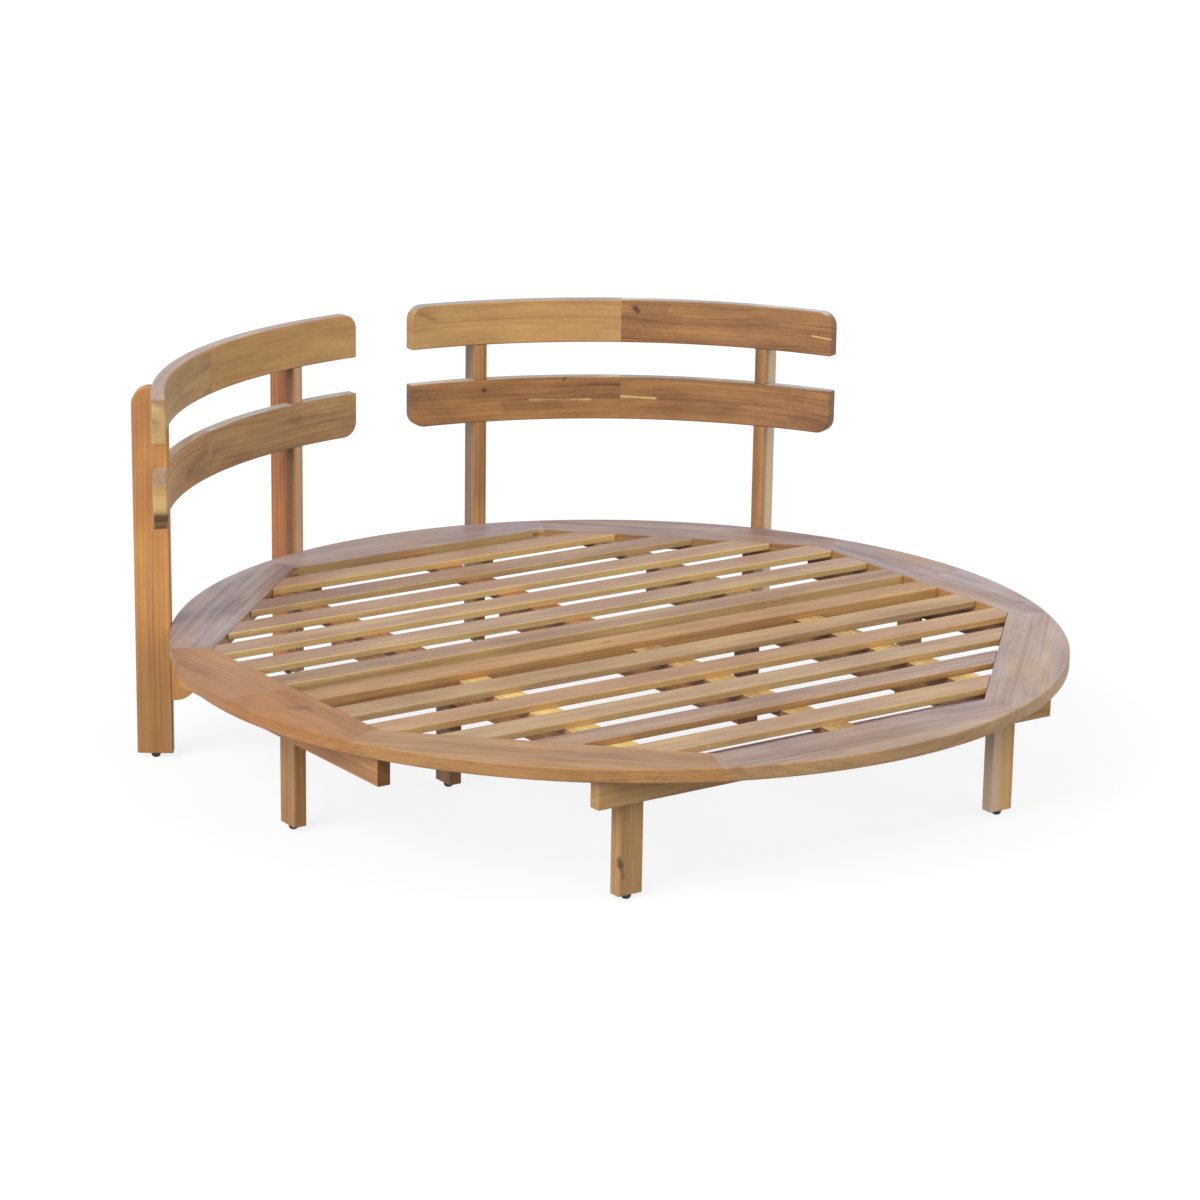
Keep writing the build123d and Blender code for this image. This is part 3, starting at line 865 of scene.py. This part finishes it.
# %% Two soft suns
def sun(name, strength, angle_round, height_angle, softness):
    """A sun seen at these angles from the bed, in degrees, the first from the front to the right."""
    lamp = bpy.data.objects.new(name, bpy.data.lights.new(name, "SUN"))
    bpy.context.scene.collection.objects.link(lamp)
    lamp.data.energy = strength
    lamp.data.angle = math.radians(softness)
    around, height = math.radians(angle_round), math.radians(height_angle)
    towards = Vector((math.sin(around) * math.cos(height), -math.cos(around) * math.cos(height),
                      math.sin(height)))
    lamp.rotation_euler = towards.to_track_quat("Z", "Y").to_euler()
    return lamp


key = sun("key", strength=2.9, angle_round=-75, height_angle=30, softness=50)
fill = sun("fill", strength=1.3, angle_round=30, height_angle=30, softness=70)
print("suns of strength", key.data.energy, "and", fill.data.energy)

# %% [markdown]
# The air adds a little more light from above, which fills the shadows between the slats. The camera
# sees it as plain white, like the photograph's background, and so do shiny surfaces. White air that lit
# the bed too would wash out its colours, so the two are kept apart by the kind of ray.

# %% The air
air_colour = (0.93, 0.96, 1.0, 1.0)
white = (1.0, 1.0, 1.0, 1.0)
air_overhead, air_least = 0.52, 0.05


def seen_directly(tree):
    """1 where the camera, a mirror or a glass looks, and 0 where light is gathered."""
    path = tree.nodes.new("ShaderNodeLightPath")
    through = calc(tree, "MAXIMUM", path.outputs["Is Glossy Ray"], path.outputs["Is Transmission Ray"])
    return calc(tree, "MAXIMUM", path.outputs["Is Camera Ray"], through)


air = bpy.data.worlds.new("studio_air")
bpy.context.scene.world = air
air.use_nodes = True
tree = air.node_tree
tree.nodes.clear()
direction = tree.nodes.new("ShaderNodeTexCoord").outputs["Generated"]
height = put(tree, "ShaderNodeSeparateXYZ", Vector=direction).outputs["Z"]
above = calc(tree, "MULTIPLY", calc(tree, "MAXIMUM", height, 0.0), air_overhead)
light = put(tree, "ShaderNodeBackground", Color=air_colour,
            Strength=calc(tree, "ADD", above, air_least))
backdrop = put(tree, "ShaderNodeBackground", Color=white, Strength=1.0)
mix = tree.nodes.new("ShaderNodeMixShader")
feed(tree, mix.inputs[0], seen_directly(tree))
tree.links.new(light.outputs[0], mix.inputs[1])
tree.links.new(backdrop.outputs[0], mix.inputs[2])
tree.links.new(mix.outputs[0], tree.nodes.new("ShaderNodeOutputWorld").inputs[0])
print("air of strength", air_least, "to", air_least + air_overhead)

# %% [markdown]
# The floor is wide and pale. It is a matt grey that throws little light up under the bed, plus a glow
# that only the camera and shiny surfaces see, so it looks white and still shows the bed's soft shadow.

# %% The floor
floor_reach = 60
floor_grey = (0.20, 0.20, 0.20, 1.0)
floor_glow = 0.83
corners = [(-floor_reach, -floor_reach, 0), (floor_reach, -floor_reach, 0),
           (floor_reach, floor_reach, 0), (-floor_reach, floor_reach, 0)]
mesh = bpy.data.meshes.new("floor")
mesh.from_pydata(corners, [], [tuple(range(len(corners)))])
floor = bpy.data.objects.new("floor", mesh)
bpy.context.scene.collection.objects.link(floor)
pale_floor = bpy.data.materials.new("pale_floor")
pale_floor.use_nodes = True
tree = pale_floor.node_tree
tree.nodes.clear()
matt = put(tree, "ShaderNodeBsdfDiffuse", Color=floor_grey)
glow = put(tree, "ShaderNodeEmission", Color=white,
           Strength=calc(tree, "MULTIPLY", seen_directly(tree), floor_glow))
both = tree.nodes.new("ShaderNodeAddShader")
tree.links.new(matt.outputs[0], both.inputs[0])
tree.links.new(glow.outputs[0], both.inputs[1])
tree.links.new(both.outputs[0], tree.nodes.new("ShaderNodeOutputMaterial").inputs[0])
mesh.materials.append(pale_floor)

bpy.context.scene.view_settings.view_transform = "Standard"
print("floor", 2 * floor_reach, "m wide, colours shown as", bpy.context.scene.view_settings.view_transform)
